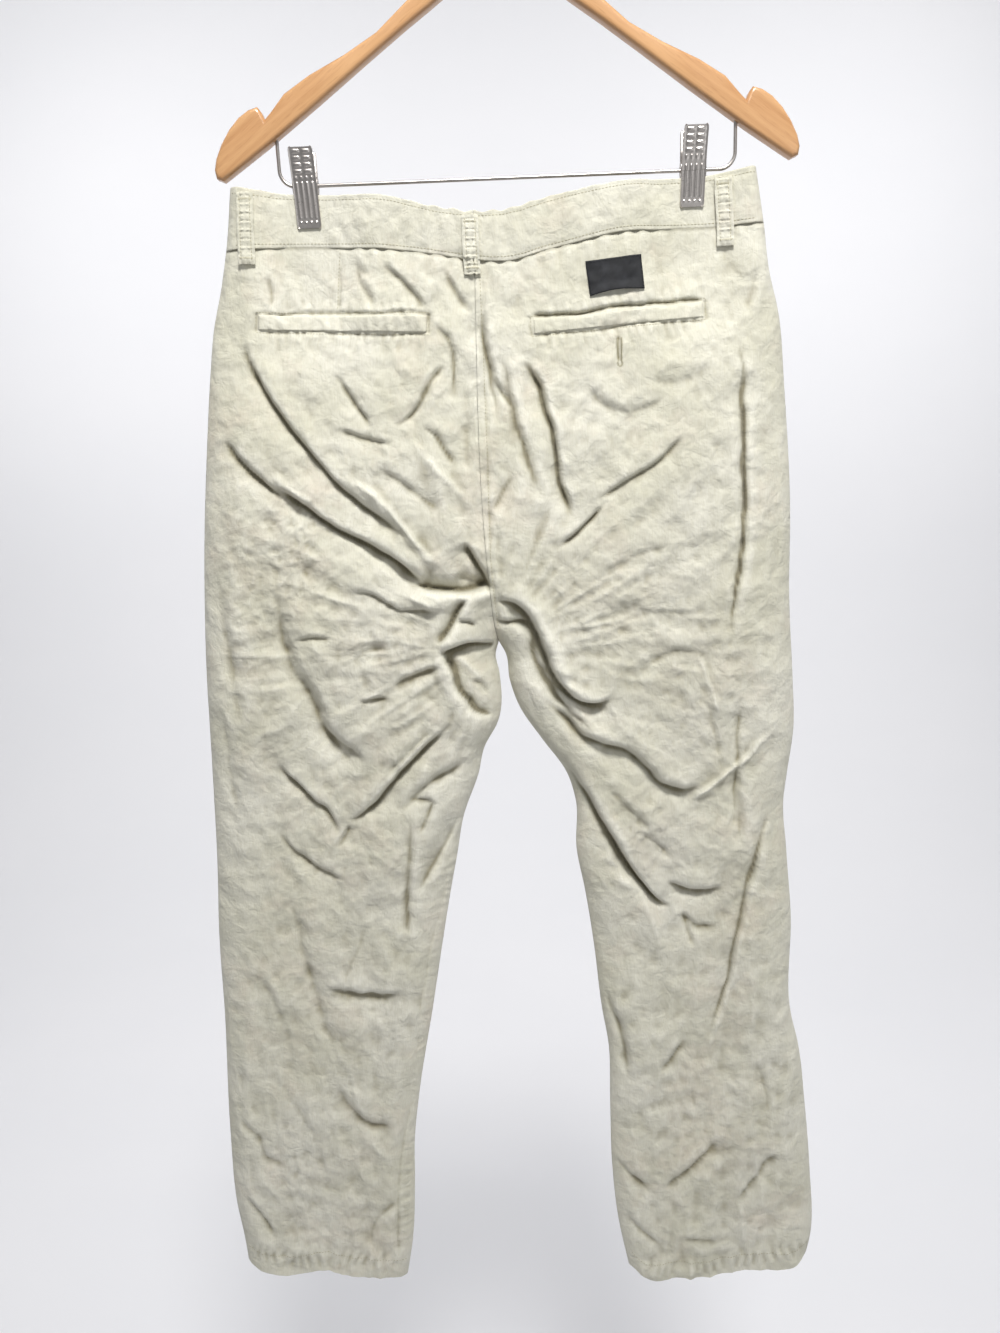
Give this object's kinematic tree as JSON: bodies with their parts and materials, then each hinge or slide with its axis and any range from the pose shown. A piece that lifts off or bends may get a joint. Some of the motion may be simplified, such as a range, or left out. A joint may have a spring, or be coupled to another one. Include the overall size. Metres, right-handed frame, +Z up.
{
  "type": "chinos on a clip hanger",
  "caption": "Flat-front cotton chinos hung by the waistband from a wooden clip hanger, back view, creased, with welt back pockets and belt loops.",
  "frame": {"origin": "inside top of the hanger's hook, where a rail carries it", "axes": "+Z up, +Y towards the front of the garment, +X towards the wearer's right; the back of the garment faces -Y"},
  "size_m": [0.5786, 0.0514, 1.2838],
  "materials": {
    "twill": "pale stone-green cotton twill, washed and creased, matt",
    "woven_label": "black woven label, matt, bare",
    "button": "horn-coloured four-hole trouser button",
    "lacquered_wood": "clear-lacquered warm wood with fine grain",
    "bright_steel": "bright plated steel wire and pressed clips"
  },
  "bodies": {
    "root": {"back_panel_left": "twill", "back_panel_right": "twill", "front_panel_left": "twill", "front_panel_right": "twill", "front_pocket_facing_left": "twill", "front_pocket_facing_right": "twill", "fly_flap": "twill", "waistband_left": "twill", "waistband_right": "twill", "belt_loop_back": "twill", "belt_loop_side_left": "twill", "belt_loop_side_right": "twill", "belt_loop_front_left": "twill", "belt_loop_front_right": "twill", "back_pocket_welt_left": "twill", "back_pocket_welt_right": "twill", "label_patch": "woven_label", "waist_button": "button", "hanger_bow": "lacquered_wood", "hanger_hook": "bright_steel", "hanger_bar": "bright_steel", "clip_left_back": "bright_steel", "clip_left_front": "bright_steel", "clip_left_spring": "bright_steel", "clip_right_back": "bright_steel", "clip_right_front": "bright_steel", "clip_right_spring": "bright_steel"}
  },
  "joints": []
}
